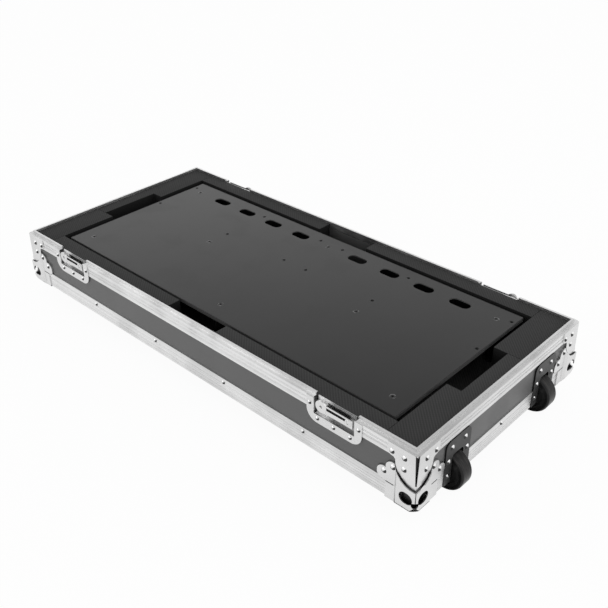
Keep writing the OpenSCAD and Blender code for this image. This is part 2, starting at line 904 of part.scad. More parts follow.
// Keeper: a folded plate in the pocket that the hook of the lid's latch pulls on
module keeper() {
    lean_y = pocket_deep - rib_d / 2 - seat_fit;
    window_w_x = keeper_window[1] - keeper_window[0];
    color([0.8, 0.81, 0.82]) difference() {
        union() {
            drawn_x(2 * keeper_half_w) polygon([
                [0, keeper_low], [pocket_deep, keeper_low], [pocket_deep, keeper_low + keeper_t],
                [keeper_t, keeper_low + keeper_t], [keeper_t, keeper_knee - keeper_t / 2],
                [lean_y, case_h - keeper_t], [lean_y, case_h], [lean_y - keeper_t, case_h], [0, keeper_knee]
            ]);
            translate([ear_x, keeper_t, ear_z]) out_front() cylinder(h = keeper_t + dish_t, d = ear_d);
            translate([curl_x, keeper_t / 2, curl_z]) out_front()
                cylinder(h = keeper_t / 2 + dish_t, d = curl_d);
        }
        translate([ear_x, pocket_deep, ear_z]) out_front()
            cylinder(h = pocket_deep + dish_t + cut, d = ear_hole_d);
        translate([curl_x, 0, curl_z]) out_front() cylinder(h = dish_t + cut, d = curl_d - 2 * keeper_t);
        translate([keeper_window[0], keeper_t, keeper_knee + keeper_window_rise])
            cube([window_w_x, 2 * pocket_deep, brace_top - keeper_knee - 2 * keeper_window_rise]);
        translate([keeper_slot[0], -cut, keeper_slot_z[0]])
            cube([keeper_slot[1] - keeper_slot[0], keeper_t + 2 * cut, keeper_slot_z[1] - keeper_slot_z[0]]);
    }
}

// Named corners, latches and keepers
module front_left_corner_cap() {
    quadrant(-1, -1) corner_cap();
}

module front_right_corner_cap() {
    quadrant(1, -1) corner_cap();
}

module back_left_corner_cap() {
    quadrant(-1, 1) corner_cap();
}

module back_right_corner_cap() {
    quadrant(1, 1) corner_cap();
}

module front_left_rim_brace() {
    quadrant(-1, -1) rim_brace();
}

module front_right_rim_brace() {
    quadrant(1, -1) rim_brace();
}

module back_left_rim_brace() {
    quadrant(-1, 1) rim_brace();
}

module back_right_rim_brace() {
    quadrant(1, 1) rim_brace();
}

module front_left_latch_dish() {
    latch_place(-1, -1) latch_dish();
}

module front_right_latch_dish() {
    latch_place(1, -1) latch_dish();
}

module back_left_latch_dish() {
    latch_place(-1, 1) latch_dish();
}

module back_right_latch_dish() {
    latch_place(1, 1) latch_dish();
}

module front_left_keeper() {
    latch_place(-1, -1) keeper();
}

module front_right_keeper() {
    latch_place(1, -1) keeper();
}

module back_left_keeper() {
    latch_place(-1, 1) keeper();
}

module back_right_keeper() {
    latch_place(1, 1) keeper();
}

// Rivets, each with its head on the outer sheet and its tail just through the panel
module corner_cap_rivets() {
    color([0.72, 0.73, 0.74]) for (sx = [-1, 1], sy = [-1, 1]) quadrant(sx, sy)
        corner_spots(cap_rivets) translate([0, 0, cap_t])
            rivet(rivet_d, cap_t + skin_t + panel_t + rivet_tail);
}

module rim_brace_rivets() {
    color([0.72, 0.73, 0.74]) for (sx = [-1, 1], sy = [-1, 1]) quadrant(sx, sy)
        corner_spots(brace_rivets) translate([0, 0, brace_t])
            rivet(rivet_d, brace_t + skin_t + panel_t + rivet_tail);
}

module latch_rivets() {
    color([0.72, 0.73, 0.74]) for (sx = [-1, 1], sy = [-1, 1]) latch_place(sx, sy) latch_spots()
        translate([0, 0, dish_t]) rivet(small_rivet_d, dish_t + skin_t + panel_t + rivet_tail);
}

module edge_rivets() {
    color([0.74, 0.75, 0.76]) edge_spots() rivet(small_rivet_d, skin_t + panel_t + rivet_tail);
}

module wheel_plate_rivets() {
    color([0.8, 0.81, 0.82]) wheel_plate_spots()
        translate([0, 0, wheel_plate_t]) rivet(rivet_d, wheel_plate_t + panel_t + rivet_tail);
}

module handle_rivets() {
    color([0.8, 0.81, 0.82]) handle_spots()
        translate([0, 0, handle_plate_t]) rivet(small_rivet_d, handle_plate_t + panel_t + rivet_tail);
}

// Wheel plate: folded round the lower edge, with one window for the wheel through both legs
module wheel_plate_2d() {
    difference() {
        union() {
            translate([-wheel_plate_w / 2, skin_t - wheel_plate_t])
                square([wheel_plate_w, wheel_plate_h - wheel_plate_r - skin_t + wheel_plate_t]);
            translate([-wheel_plate_w / 2 + wheel_plate_r, wheel_plate_h / 2])
                square([wheel_plate_w - 2 * wheel_plate_r, wheel_plate_h / 2]);
            for (side = [-1, 1])
                translate([side * (wheel_plate_w / 2 - wheel_plate_r), wheel_plate_h - wheel_plate_r])
                    circle(wheel_plate_r);
        }
        window_2d();
    }
}

module window_2d() {
    translate([-window_w / 2, -case_h]) square([window_w, case_h + window_h - window_r]);
    translate([-window_w / 2 + window_r, 0]) square([window_w - 2 * window_r, window_h]);
    for (side = [-1, 1]) translate([side * (window_w / 2 - window_r), window_h - window_r]) circle(window_r);
}

module wheel_plate() {
    color([0.12, 0.12, 0.13]) difference() {
        union() {
            translate([face_l, 0, under_z]) rotate([90, 0, 90])
                linear_extrude(wheel_plate_t) wheel_plate_2d();
            difference() {
                translate([face_l - plate_sole_l, -wheel_plate_w / 2, panel_low_z - wheel_plate_t])
                    cube([plate_sole_l + wheel_plate_t, wheel_plate_w, wheel_plate_t]);
                translate([housing_in_x - housing_t, -window_w / 2, 0]) cube([half_l, window_w, rim_top_z]);
            }
        }
        translate([0, -wheel_y, 0]) wheel_plate_spots() shank_hole(shank_d);
    }
}

module front_wheel_plate() {
    at_wheel(-1) wheel_plate();
}

module back_wheel_plate() {
    at_wheel(1) wheel_plate();
}

// Wheel housing: a steel box let into the end panel and the floor, whose cheeks hold the axle
module wheel_housing() {
    back_x = housing_in_x - housing_t;
    wide = window_w + 2 * housing_t;
    color([0.1, 0.1, 0.11]) difference() {
        translate([back_x, -wide / 2, panel_low_z])
            cube([face_l - back_x, wide, housing_top_z + housing_t - panel_low_z]);
        translate([housing_in_x, -window_w / 2, 0]) cube([half_l, window_w, housing_top_z]);
        translate([axle_x, 0, axle_z]) rotate([90, 0, 0])
            cylinder(h = 2 * window_w, d = axle_d + 2 * seat_fit, center = true);
    }
}

module front_wheel_housing() {
    at_wheel(-1) wheel_housing();
}

module back_wheel_housing() {
    at_wheel(1) wheel_housing();
}

module axle() {
    color([0.6, 0.61, 0.62]) translate([axle_x, 0, axle_z]) rotate([90, 0, 0]) {
        cylinder(h = window_w + 2 * housing_t + 2 * axle_head_t, d = axle_d, center = true);
        for (side = [-1, 1])
            translate([0, 0, side * (window_w / 2 + housing_t + axle_head_t / 2)])
                cylinder(h = axle_head_t, d = axle_head_d, center = true);
    }
}

module front_axle() {
    at_wheel(-1) axle();
}

module back_axle() {
    at_wheel(1) axle();
}

// Wheel core: hub, dished web and outer ring turned in one piece
module wheel_core() {
    core_r = core_d / 2;
    bore_r = axle_d / 2 + run_fit;
    hub_half = window_w / 2 - hub_gap;
    web_half = wheel_w / 2 - web_recess;
    color([0.09, 0.09, 0.1]) translate([axle_x, 0, axle_z]) rotate([90, 0, 0]) rotate_extrude() polygon([
        [bore_r, -hub_half], [hub_d / 2, -hub_half], [hub_d / 2, -web_half], [core_r - rim_wall, -web_half],
        [core_r - rim_wall, -wheel_w / 2], [core_r, -wheel_w / 2], [core_r, wheel_w / 2],
        [core_r - rim_wall, wheel_w / 2], [core_r - rim_wall, web_half], [hub_d / 2, web_half],
        [hub_d / 2, hub_half], [bore_r, hub_half]
    ]);
}

module front_wheel_core() {
    at_wheel(-1) wheel_core();
}

module back_wheel_core() {
    at_wheel(1) wheel_core();
}

module tyre_2d() {
    inner = core_d / 2 + seat_fit / 2;
    outer = wheel_d / 2;
    translate([inner, -wheel_w / 2]) square([outer - tread_r - inner, wheel_w]);
    translate([inner, -wheel_w / 2 + tread_r]) square([outer - inner, wheel_w - 2 * tread_r]);
    for (side = [-1, 1]) translate([outer - tread_r, side * (wheel_w / 2 - tread_r)]) circle(tread_r);
}

module wheel_tyre() {
    color([0.05, 0.05, 0.05]) translate([axle_x, 0, axle_z]) rotate([90, 0, 0]) rotate_extrude() tyre_2d();
}

module front_wheel_tyre() {
    at_wheel(-1) wheel_tyre();
}

module back_wheel_tyre() {
    at_wheel(1) wheel_tyre();
}

// Foam nest: a floor sheet, two split long strips and two end blocks
module foam_floor() {
    color([0.1, 0.1, 0.1]) difference() {
        translate([-nest_l, -nest_w, floor_z]) cube([2 * nest_l, 2 * nest_w, foam_floor_t]);
        housing_room();
    }
}

module long_foam() {
    color([0.2, 0.2, 0.2]) for (side = [0, 1]) mirror([side, 0, 0])
        translate([long_notch_l / 2, -nest_w, nest_z])
            cube([open_l - long_notch_l / 2, nest_w - open_w, foam_top_z - nest_z]);
}

module front_foam() {
    long_foam();
}

module back_foam() {
    mirror([0, 1, 0]) long_foam();
}

module end_foam() {
    difference() {
        translate([open_l, -nest_w, nest_z]) cube([nest_l - open_l, 2 * nest_w, foam_top_z - nest_z]);
        translate([open_l - cut, -notch_l / 2, nest_z - cut]) cube([notch_deep + cut, notch_l, case_h]);
        housing_room();
    }
}

module left_foam() {
    color([0.2, 0.2, 0.2]) mirror([1, 0, 0]) end_foam();
}

module right_foam() {
    color([0.2, 0.2, 0.2]) end_foam();
}

// Feet
module rubber_feet() {
    color([0.06, 0.06, 0.06]) for (spot = foot_spots) translate([spot[0], spot[1], 0]) difference() {
        cylinder(h = panel_low_z, d1 = foot_low_d, d2 = foot_d);
        translate([0, 0, -cut]) cylinder(h = foot_cup_deep + cut, d = foot_cup_d);
        cylinder(h = panel_low_z + cut, d = foot_screw_d + 2 * seat_fit);
    }
}

module foot_screws() {
    color([0.6, 0.61, 0.62]) for (spot = foot_spots) translate([spot[0], spot[1], foot_cup_deep]) {
        translate([0, 0, -foot_screw_head_h]) cylinder(h = foot_screw_head_h, d = foot_screw_head_d);
        cylinder(h = panel_low_z - foot_cup_deep + foot_screw_bite, d = foot_screw_d);
    }
}

// Pull handle on the end away from the wheels: a plate with two ears, and a hinged bail
module handle_plate() {
    ear_r = handle_out / 2;
    color([0.12, 0.12, 0.13]) difference() {
        union() {
            translate([-face_l - handle_plate_t, -handle_plate_w / 2, handle_plate_low])
                cube([handle_plate_t, handle_plate_w, handle_plate_h]);
            for (side = [-1, 1]) translate([handle_pivot_x, side * handle_span / 2, handle_pivot_z]) {
                rotate([90, 0, 0]) cylinder(h = ear_t, r = ear_r, center = true);
                translate([0, -ear_t / 2, -ear_r]) cube([-handle_pivot_x - face_l, ear_t, 2 * ear_r]);
            }
        }
        translate([handle_pivot_x, 0, handle_pivot_z]) rotate([90, 0, 0])
            cylinder(h = case_w, d = handle_pin_d + 2 * seat_fit, center = true);
        handle_spots() shank_hole(shank_d);
    }
}

module handle_pins() {
    pin_l = ear_t + eye_w + 2 * ear_gap;
    color([0.6, 0.61, 0.62]) for (side = [0, 1]) mirror([0, side, 0])
        translate([handle_pivot_x, handle_span / 2 + ear_t / 2, handle_pivot_z]) rotate([90, 0, 0]) {
            cylinder(h = pin_l, d = handle_pin_d);
            translate([0, 0, -axle_head_t]) cylinder(h = axle_head_t, d = handle_pin_d + axle_head_t);
        }
}

module bail_2d(inset, eye_y) {
    half = eye_y + bail_d / 2 - inset;
    low = -bail_drop - bail_d / 2 + inset;
    bend = bail_bend_r - inset;
    translate([-half, low + bend]) square([2 * half, -low - bend]);
    translate([-half + bend, low]) square([2 * (half - bend), bend + bail_d]);
    for (side = [-1, 1]) translate([side * (half - bend), low + bend]) circle(bend);
}

module handle_bail() {
    eye_y = handle_span / 2 - ear_t / 2 - ear_gap - eye_w / 2;
    eye_d = handle_pin_d + bail_d;
    color([0.62, 0.63, 0.64]) translate([handle_pivot_x, 0, handle_pivot_z]) difference() {
        union() {
            translate([-bail_d / 2, 0, 0]) rotate([90, 0, 90]) linear_extrude(bail_d) difference() {
                bail_2d(0, eye_y);
                bail_2d(bail_d, eye_y);
                translate([-eye_y + bail_d / 2, -bail_drop / 2]) square([2 * eye_y - bail_d, bail_drop]);
            }
            for (side = [-1, 1]) translate([0, side * eye_y, 0]) rotate([90, 0, 0])
                cylinder(h = eye_w, d = eye_d, center = true);
        }
        rotate([90, 0, 0]) cylinder(h = case_w, d = handle_pin_d + 2 * run_fit, center = true);
    }
}

module handle_grip() {
    eye_y = handle_span / 2 - ear_t / 2 - ear_gap - eye_w / 2;
    bar = bail_d + seat_fit;
    color([0.06, 0.06, 0.06]) translate([handle_pivot_x, 0, handle_pivot_z - bail_drop]) difference() {
        rotate([90, 0, 0]) cylinder(h = 2 * (eye_y - grip_gap), d = grip_d, center = true);
        cube([bar, 2 * eye_y, bar], center = true);
    }
}

// Pedalboard: a folded sheet with cable slots, on posts with rubber tips
module rounded_2d(l, w, r) {
    square([l - 2 * r, w], center = true);
    square([l, w - 2 * r], center = true);
    for (sx = [-1, 1], sy = [-1, 1]) translate([sx * (l / 2 - r), sy * (w / 2 - r)]) circle(r);
}

module slot_cut() {
    reach = (slot_l - slot_w) / 2;
    for (side = [-1, 1]) translate([side * reach, 0, -cut]) cylinder(h = board_t + 2 * cut, d = slot_w);
    translate([-reach, -slot_w / 2, -cut]) cube([2 * reach, slot_w, board_t + 2 * cut]);
}

module bracket_holes(span) {
    for (sx = [-1, 1], sy = [-1, 1])
        translate([sx * span / 2, sy * bracket_rise / 2, -cut])
            cylinder(h = board_t + 2 * cut, d = bracket_hole_d);
}

module board_plate() {
    color([0.13, 0.13, 0.14]) translate([0, 0, board_top_z - board_t]) difference() {
        translate([0, 0, board_t - board_fold]) linear_extrude(board_fold)
            rounded_2d(board_l, board_w, board_r);
        translate([0, 0, -board_fold]) linear_extrude(board_fold)
            rounded_2d(board_l - 2 * board_t, board_w - 2 * board_t, board_r - board_t);
        for (sx = [-1, 1], i = [0:slot_n - 1])
            translate([sx * (slot_first + slot_shift + i * slot_pitch), row_y, 0]) slot_cut();
        translate([0, bracket_y, 0]) bracket_holes(bracket_mid_span);
        for (sx = [-1, 1]) translate([sx * bracket_x, bracket_y, 0]) bracket_holes(bracket_span);
        for (spot = post_spots) translate([spot[0], spot[1], 0]) {
            translate([0, 0, -cut]) cylinder(h = board_t + 2 * cut, d = screw_d + 2 * seat_fit);
            countersink(seat_fit);
        }
    }
}

// Cone of a countersunk head, its face flush with the top of the board
module countersink(grow) {
    translate([0, 0, board_t - countersink_h - grow])
        cylinder(h = countersink_h + grow, d1 = screw_d, d2 = screw_head_d + 2 * grow);
}

module board_posts() {
    low = nest_z + rest_fit + tip_h;
    top = board_top_z - board_t;
    color([0.12, 0.12, 0.12]) for (spot = post_spots) translate([spot[0], spot[1], 0]) difference() {
        translate([0, 0, low]) cylinder(h = top - low, d = post_d);
        translate([0, 0, top - screw_deep - cut])
            cylinder(h = screw_deep + 2 * cut, d = screw_d + 2 * seat_fit);
        translate([0, 0, top]) countersink(seat_fit);
    }
}

module board_post_tips() {
    color([0.05, 0.05, 0.05]) for (spot = post_spots)
        translate([spot[0], spot[1], nest_z + rest_fit]) cylinder(h = tip_h, d = post_d);
}

module board_screws() {
    color([0.35, 0.35, 0.36]) for (spot = post_spots)
        translate([spot[0], spot[1], board_top_z - board_t]) difference() {
            union() {
                countersink(0);
                translate([0, 0, -screw_deep + board_t]) cylinder(h = screw_deep - board_t / 2, d = screw_d);
            }
            translate([0, 0, board_t - recess_deep]) cylinder(h = recess_deep + cut, d = recess_d, $fn = 6);
        }
}

bottom_panel();
front_panel();
back_panel();
left_panel();
right_panel();
front_base_edge();
back_base_edge();
left_base_edge();
right_base_edge();
front_rim();
back_rim();
left_rim();
right_rim();
front_left_corner_cap();
front_right_corner_cap();
back_left_corner_cap();
back_right_corner_cap();
front_left_rim_brace();
front_right_rim_brace();
back_left_rim_brace();
back_right_rim_brace();
front_left_latch_dish();
front_right_latch_dish();
back_left_latch_dish();
back_right_latch_dish();
front_left_keeper();
front_right_keeper();
back_left_keeper();
back_right_keeper();
corner_cap_rivets();
rim_brace_rivets();
latch_rivets();
edge_rivets();
wheel_plate_rivets();
handle_rivets();
front_wheel_plate();
back_wheel_plate();
front_wheel_housing();
back_wheel_housing();
front_axle();
back_axle();
front_wheel_core();
back_wheel_core();
front_wheel_tyre();
back_wheel_tyre();
foam_floor();
front_foam();
back_foam();
left_foam();
right_foam();
handle_plate();
handle_pins();
handle_bail();
handle_grip();
rubber_feet();
foot_screws();
board_plate();
board_posts();
board_post_tips();
board_screws();
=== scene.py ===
import math

import bpy
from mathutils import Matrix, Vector


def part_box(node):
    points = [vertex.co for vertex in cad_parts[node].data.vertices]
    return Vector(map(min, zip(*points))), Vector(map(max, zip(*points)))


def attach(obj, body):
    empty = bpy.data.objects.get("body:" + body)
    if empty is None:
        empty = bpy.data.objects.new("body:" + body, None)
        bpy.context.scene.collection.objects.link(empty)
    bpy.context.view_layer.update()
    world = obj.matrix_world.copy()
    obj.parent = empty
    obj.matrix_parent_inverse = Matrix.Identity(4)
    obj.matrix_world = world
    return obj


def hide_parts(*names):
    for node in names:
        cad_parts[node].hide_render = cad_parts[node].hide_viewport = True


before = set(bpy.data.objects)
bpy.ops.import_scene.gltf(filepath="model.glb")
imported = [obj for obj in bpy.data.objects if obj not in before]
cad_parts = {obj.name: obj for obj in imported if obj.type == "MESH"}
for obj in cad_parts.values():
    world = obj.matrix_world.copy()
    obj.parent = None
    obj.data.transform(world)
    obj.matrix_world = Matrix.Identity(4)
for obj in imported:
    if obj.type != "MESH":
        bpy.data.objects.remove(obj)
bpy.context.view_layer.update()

print("frame loaded with", len(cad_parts), "nodes")


# Camera, where the photograph was taken from
view = {"place": (0.8818, -0.8556, 0.8333), "turn": (57.685, 0.752, 43.317), "lens": 49.346,
        "sensor": 36, "nearest": 0.01}


def placeCamera():
    turn = [math.radians(angle) for angle in view["turn"]]
    bpy.ops.object.camera_add(location=view["place"], rotation=turn)
    camera = bpy.context.object
    camera.data.lens = view["lens"]
    camera.data.sensor_width = view["sensor"]
    camera.data.clip_start = view["nearest"]
    bpy.context.scene.camera = camera


placeCamera()
bpy.context.scene.view_settings.view_transform = "Standard"
print("camera placed")


# Short ways to build node trees

def addNode(tree, kind, **settings):
    node = tree.nodes.new(kind)
    for name, value in settings.items():
        setattr(node, name, value)
    return node


def feed(tree, source, target):
    if isinstance(source, bpy.types.NodeSocket):
        tree.links.new(source, target)
    else:
        target.default_value = source


def calc(tree, operation, first, second=0.0, clamp=False):
    node = addNode(tree, "ShaderNodeMath", operation=operation, use_clamp=clamp)
    feed(tree, first, node.inputs[0])
    feed(tree, second, node.inputs[1])
    return node.outputs[0]


def times(tree, first, second):
    return calc(tree, "MULTIPLY", first, second)


def plus(tree, base, value, share):
    return calc(tree, "ADD", base, times(tree, value, share))


def without(tree, mask):
    return calc(tree, "SUBTRACT", 1.0, mask)


def over(tree, value, limit):
    return calc(tree, "GREATER_THAN", value, limit)


def under(tree, value, limit):
    return calc(tree, "LESS_THAN", value, limit)


def fromMiddle(tree, value):
    return calc(tree, "ABSOLUTE", value)


def ramp(tree, value, low, high, toLow=0.0, toHigh=1.0):
    node = addNode(tree, "ShaderNodeMapRange", interpolation_type="SMOOTHSTEP")
    for name, setting in (("Value", value), ("From Min", low), ("From Max", high),
                          ("To Min", toLow), ("To Max", toHigh)):
        feed(tree, setting, node.inputs[name])
    return node.outputs[0]


def blendColour(tree, mask, first, second):
    node = addNode(tree, "ShaderNodeMix", data_type="RGBA")
    feed(tree, mask, node.inputs[0])
    feed(tree, first, node.inputs[6])
    feed(tree, second, node.inputs[7])
    return node.outputs[2]


def grey(value):
    return (value, value, value, 1)


def noise(tree, place, scale, detail=2.0, rough=0.5):
    node = addNode(tree, "ShaderNodeTexNoise")
    for name, setting in (("Vector", place), ("Scale", scale), ("Detail", detail), ("Roughness", rough)):
        feed(tree, setting, node.inputs[name])
    return node.outputs["Fac"]


def stretched(tree, place, scale=(1, 1, 1), turn=0, shift=(0, 0, 0)):
    node = addNode(tree, "ShaderNodeMapping")
    feed(tree, place, node.inputs["Vector"])
    node.inputs["Scale"].default_value = scale
    node.inputs["Rotation"].default_value = (0, 0, math.radians(turn))
    node.inputs["Location"].default_value = shift
    return node.outputs[0]


def axesOf(tree, vector):
    node = addNode(tree, "ShaderNodeSeparateXYZ")
    feed(tree, vector, node.inputs[0])
    return node.outputs


def facingOf(tree):
    return axesOf(tree, addNode(tree, "ShaderNodeNewGeometry").outputs["Normal"])


def bump(tree, height, strength, depth):
    node = addNode(tree, "ShaderNodeBump")
    node.inputs["Strength"].default_value = strength
    node.inputs["Distance"].default_value = depth
    feed(tree, height, node.inputs["Height"])
    return node.outputs[0]


# Effects that more than one finish uses, each built once
smudge = {"size": 14, "detail": 3, "rough": 0.55, "range": (0.42, 0.68)}
scratch = {"run": (900, 22, 260), "sets": ((24, 0.0), (-51, 0.7)), "detail": 1, "range": (0.70, 0.78)}
dieLine = {"detail": 3, "rough": 0.6, "range": (0.3, 0.7)}
grainStyle = {"detail": 3, "cloud": 9, "share": 0.5, "range": (0.3, 0.7)}


def newGroup(name, inputs, outputs):
    tree = bpy.data.node_groups.new(name, "ShaderNodeTree")
    for label, kind in inputs:
        tree.interface.new_socket(label, in_out="INPUT", socket_type="NodeSocket" + kind)
    for label in outputs:
        tree.interface.new_socket(label, in_out="OUTPUT", socket_type="NodeSocketFloat")
    return tree, addNode(tree, "NodeGroupInput").outputs, addNode(tree, "NodeGroupOutput").inputs


def makeHandMarks():
    tree, given, out = newGroup("handMarks", [("Vector", "Vector")], ["Smudge", "Scratch"])
    cloud = noise(tree, given["Vector"], smudge["size"], smudge["detail"], smudge["rough"])
    feed(tree, ramp(tree, cloud, *smudge["range"]), out["Smudge"])
    lines = []
    for turn, shift in scratch["sets"]:
        run = stretched(tree, given["Vector"], scratch["run"], turn, (shift, 0, 0))
        lines.append(ramp(tree, noise(tree, run, 1, scratch["detail"]), *scratch["range"]))
    feed(tree, calc(tree, "MAXIMUM", *lines), out["Scratch"])
    return tree


def makeDieLines():
    tree, given, out = newGroup("dieLines", [("Vector", "Vector")], ["Height", "Tone"])
    fine = noise(tree, given["Vector"], 1, dieLine["detail"], dieLine["rough"])
    feed(tree, fine, out["Height"])
    feed(tree, ramp(tree, fine, *dieLine["range"]), out["Tone"])
    return tree


def makeFineGrain():
    tree, given, out = newGroup("fineGrain", [("Vector", "Vector"), ("Size", "Float")],
                                ["Height", "Tone"])
    near = noise(tree, given["Vector"], given["Size"], grainStyle["detail"])
    feed(tree, near, out["Height"])
    cloud = noise(tree, given["Vector"], grainStyle["cloud"])
    mixed = plus(tree, times(tree, near, grainStyle["share"]), cloud, grainStyle["share"])
    feed(tree, ramp(tree, mixed, *grainStyle["range"]), out["Tone"])
    return tree


handMarks = makeHandMarks()
dieLines = makeDieLines()
fineGrain = makeFineGrain()


def useGroup(tree, group, **given):
    node = addNode(tree, "ShaderNodeGroup", node_tree=group)
    for name, value in given.items():
        feed(tree, value, node.inputs[name])
    return node.outputs


def newFinish(name):
    material = bpy.data.materials.new(name)
    material.use_nodes = True
    tree = material.node_tree
    place = addNode(tree, "ShaderNodeTexCoord").outputs["Object"]
    return material, tree, tree.nodes["Principled BSDF"].inputs, place


# Bare aluminium, drawn through a die: fine lines run along the bar, and the metal seen
# through the slits of the corner caps is painted black as painted shade
extrusion = {"colour": 0.80, "dull": 0.58, "along": 0.8, "across": 260, "lineTone": 0.6,
             "smudgeTone": 0.4, "rough": 0.30, "smudged": 0.10, "scratched": -0.08, "bump": 0.05,
             "deep": 0.00003, "slitX": 0.395, "slitY": 0.151, "slitZ": (0.0508, 0.0542), "paintedShade": 0.01}


def makeExtrusion(name, axis):
    material, tree, shader, place = newFinish(name)
    run = [extrusion["across"]] * 3
    run[axis] = extrusion["along"]
    lines = useGroup(tree, dieLines, Vector=stretched(tree, place, run))
    marks = useGroup(tree, handMarks, Vector=place)
    tone = times(tree, lines["Tone"], extrusion["lineTone"])
    tone = plus(tree, tone, marks["Smudge"], extrusion["smudgeTone"])
    bare = blendColour(tree, tone, grey(extrusion["colour"]), grey(extrusion["dull"]))
    # painted shade: under the slits of the corner caps the metal is painted near black and not metallic
    x, y, z = axesOf(tree, place)
    slit = over(tree, fromMiddle(tree, x), extrusion["slitX"])
    for mask in (over(tree, fromMiddle(tree, y), extrusion["slitY"]),
                 over(tree, z, extrusion["slitZ"][0]), under(tree, z, extrusion["slitZ"][1])):
        slit = times(tree, slit, mask)
    feed(tree, blendColour(tree, slit, bare, grey(extrusion["paintedShade"])), shader["Base Color"])
    feed(tree, without(tree, slit), shader["Metallic"])
    rough = plus(tree, extrusion["rough"], marks["Smudge"], extrusion["smudged"])
    rough = plus(tree, rough, marks["Scratch"], extrusion["scratched"])
    feed(tree, rough, shader["Roughness"])
    feed(tree, bump(tree, lines["Height"], extrusion["bump"], extrusion["deep"]), shader["Normal"])
    return material


# Bright plating: the sheet of caps, braces and keepers, and the steel of axles, pins and bail
plating = {"grain": 420.0, "dull": 0.88, "smudgeTone": 0.5, "grainTone": 0.4, "smudged": 0.12,
           "scratched": 0.1, "bump": 0.05, "deep": 0.00006}


def makePlated(name, rough, colour):
    material, tree, shader, place = newFinish(name)
    marks = useGroup(tree, handMarks, Vector=place)
    grain = useGroup(tree, fineGrain, Vector=place, Size=plating["grain"])
    tone = times(tree, marks["Smudge"], plating["smudgeTone"])
    tone = plus(tree, tone, grain["Tone"], plating["grainTone"])
    feed(tree, blendColour(tree, tone, grey(colour), grey(colour * plating["dull"])), shader["Base Color"])
    shader["Metallic"].default_value = 1
    rough = plus(tree, rough, marks["Smudge"], plating["smudged"])
    rough = plus(tree, rough, marks["Scratch"], plating["scratched"])
    feed(tree, rough, shader["Roughness"])
    feed(tree, bump(tree, grain["Height"], plating["bump"], plating["deep"]), shader["Normal"])
    return material


# Latch dishes: plated outside; inside the pocket painted shade, duller, with a painted highlight at the
# left and painted black shade at both ends.
# Places in the pocket are measured from the latch's middle
dish = {"colour": 0.72, "dull": 0.9, "inside": 0.30, "paintedHighlight": 0.90, "black": 0.008, "matt": 0.6,
        "rough": 0.20, "middle": 0.311, "face": 0.2050, "leftEnd": -0.0350, "rightEnd": 0.0335,
        "paintedHighlightX": (-0.020, -0.004)}


def makeDish():
    material, tree, shader, place = newFinish("latchDish")
    marks = useGroup(tree, handMarks, Vector=place)
    grain = useGroup(tree, fineGrain, Vector=place, Size=plating["grain"])
    x, y, z = axesOf(tree, place)
    middle = times(tree, calc(tree, "SIGN", x), dish["middle"])
    along = times(tree, calc(tree, "SUBTRACT", middle, x), calc(tree, "SIGN", y))
    # painted shade inside the pocket, a painted highlight at its left and painted black shade at its ends
    inside = under(tree, fromMiddle(tree, y), dish["face"])
    paintedHighlight = ramp(tree, along, *dish["paintedHighlightX"], 1, 0)
    floor = blendColour(tree, paintedHighlight, grey(dish["inside"]), grey(dish["paintedHighlight"]))
    atEnd = calc(tree, "ADD", under(tree, along, dish["leftEnd"]), over(tree, along, dish["rightEnd"]))
    floor = blendColour(tree, atEnd, floor, grey(dish["black"]))
    bare = blendColour(tree, grain["Tone"], grey(dish["colour"]), grey(dish["colour"] * dish["dull"]))
    feed(tree, blendColour(tree, inside, bare, floor), shader["Base Color"])
    matt = times(tree, inside, calc(tree, "MAXIMUM", atEnd, dish["matt"]))
    feed(tree, calc(tree, "SUBTRACT", 1.0, matt, clamp=True), shader["Metallic"])
    feed(tree, plus(tree, dish["rough"], marks["Smudge"], plating["smudged"]), shader["Roughness"])
    feed(tree, bump(tree, grain["Height"], plating["bump"], plating["deep"]), shader["Normal"])
    return material


# Rivet heads: bright domes with painted shade, a dark painted reflection, on the lower slope to one side
rivet = {"colour": 0.80, "dull": 0.9, "paintedShade": 0.012, "slope": (-0.06, 0.12), "aside": 0.6,
         "patch": 330, "uneven": 0.3, "rough": 0.14, "paintedShadeRough": 0.35, "smudged": 0.08, "bump": 0.1}


def makeRivets():
    material, tree, shader, place = newFinish("rivetSteel")
    marks = useGroup(tree, handMarks, Vector=place)
    grain = useGroup(tree, fineGrain, Vector=place, Size=plating["grain"])
    # painted shade: the lower slope of each dome, more on one side, is painted dark, rough and not
    # metallic, a painted reflection
    x, y, z = facingOf(tree)
    aside = calc(tree, "SUBTRACT", times(tree, x, fromMiddle(tree, y)),
                 times(tree, y, fromMiddle(tree, x)))
    slope = calc(tree, "SUBTRACT", z, times(tree, aside, rivet["aside"]))
    patches = calc(tree, "SUBTRACT", noise(tree, place, rivet["patch"]), 0.5)
    slope = plus(tree, slope, patches, rivet["uneven"])
    paintedShade = ramp(tree, slope, *rivet["slope"], 1, 0)
    bare = blendColour(tree, grain["Tone"], grey(rivet["colour"]), grey(rivet["colour"] * rivet["dull"]))
    feed(tree, blendColour(tree, paintedShade, bare, grey(rivet["paintedShade"])), shader["Base Color"])
    feed(tree, without(tree, paintedShade), shader["Metallic"])
    rough = plus(tree, rivet["rough"], paintedShade, rivet["paintedShadeRough"])
    feed(tree, plus(tree, rough, marks["Smudge"], rivet["smudged"]), shader["Roughness"])
    feed(tree, bump(tree, grain["Height"], rivet["bump"], plating["deep"]), shader["Normal"])
    return material


# Laminate facing on plywood. It is painted black as painted shade behind the holes of the corner caps,
# behind the slits of the rim braces, and in a thin painted shadow line round the lobes of both
laminate = {"colour": 0.070, "pale": 0.086, "black": 0.004, "grain": 1300.0, "grainTone": 0.7,
            "smudgeTone": 0.3, "rough": 0.36, "smudged": 0.08, "bump": 0.25, "deep": 0.00008,
            "cornerX": 0.428, "cornerY": 0.184, "cornerZ": 0.058, "slitX": 0.440, "slitY": 0.196,
            "halfX": 0.45, "halfY": 0.2055, "lobes": ((0.0365, 0.078), (0.0505, 0.064)), "shade": 0.0128}


